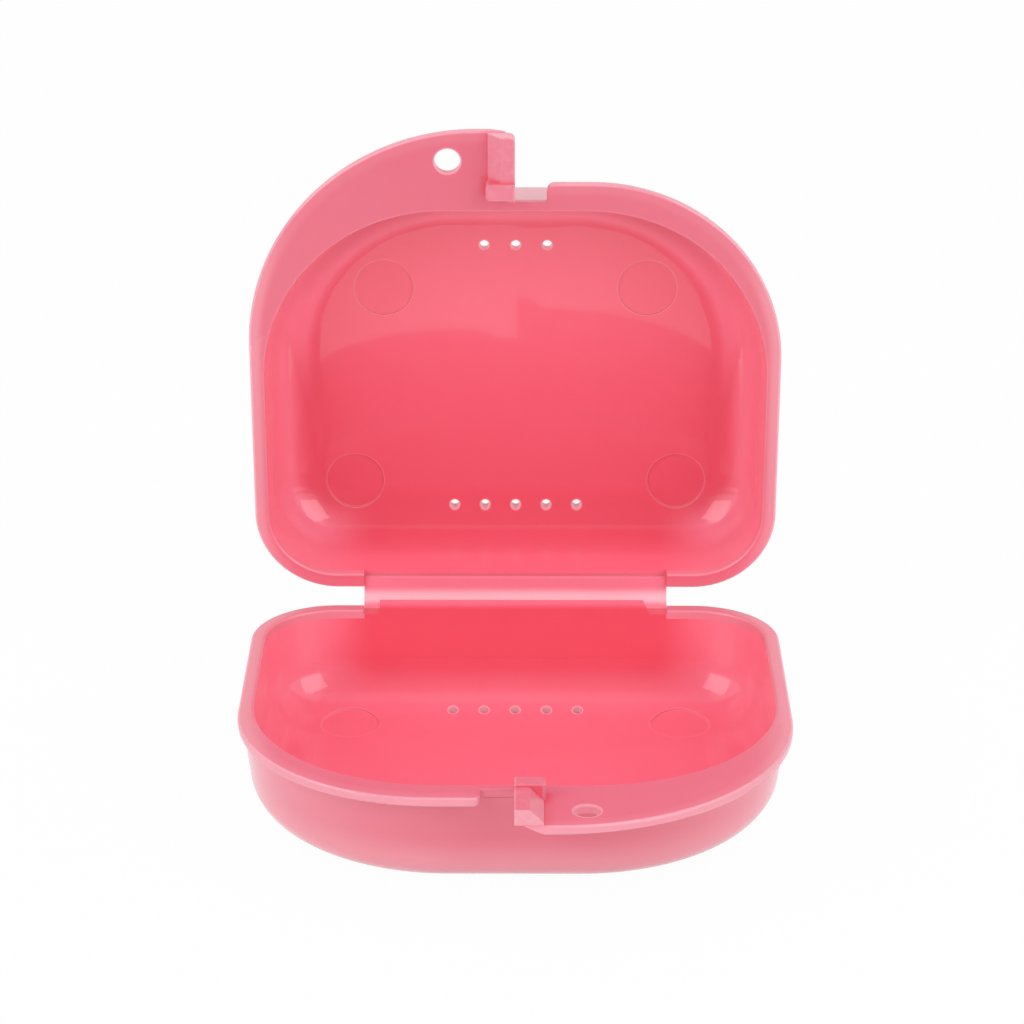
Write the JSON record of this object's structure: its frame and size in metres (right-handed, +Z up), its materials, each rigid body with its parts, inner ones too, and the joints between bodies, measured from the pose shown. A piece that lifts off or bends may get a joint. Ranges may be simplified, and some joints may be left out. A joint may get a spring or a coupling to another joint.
{
  "type": "retainer case",
  "caption": "Hinged D-shaped plastic case for a dental retainer, with a film hinge, interlocking thumb latch, vent holes and lanyard holes.",
  "frame": {"origin": "middle of the base's flat underside", "axes": "+Z up out of the base's mouth, +Y from the thumb latch to the film hinge, +X to the right seen from the latch"},
  "size_m": [0.0826, 0.0958, 0.0964],
  "materials": {
    "tub_pink": "gloss",
    "flange_pink": "satin",
    "latch_pink": "satin",
    "film_pink": "gloss"
  },
  "bodies": {
    "base": {"base_tub": "tub_pink", "base_rim_flange": "flange_pink", "base_thumb_ear": "flange_pink", "base_latch_block": "latch_pink", "base_hinge_rib": "tub_pink", "hinge_film": "film_pink"},
    "lid": {"lid_tub": "tub_pink", "lid_rim_flange": "flange_pink", "lid_thumb_ear": "flange_pink", "lid_latch_block": "latch_pink"}
  },
  "joints": [
    {"name": "lid_fold", "type": "hinge", "parent": "base", "child": "lid", "pos_m": [0, 0.0346, 0.01705], "axis": [-1, 0, 0], "range_deg": [-85.4, 94.6], "deforming": ["hinge_film"]}
  ]
}
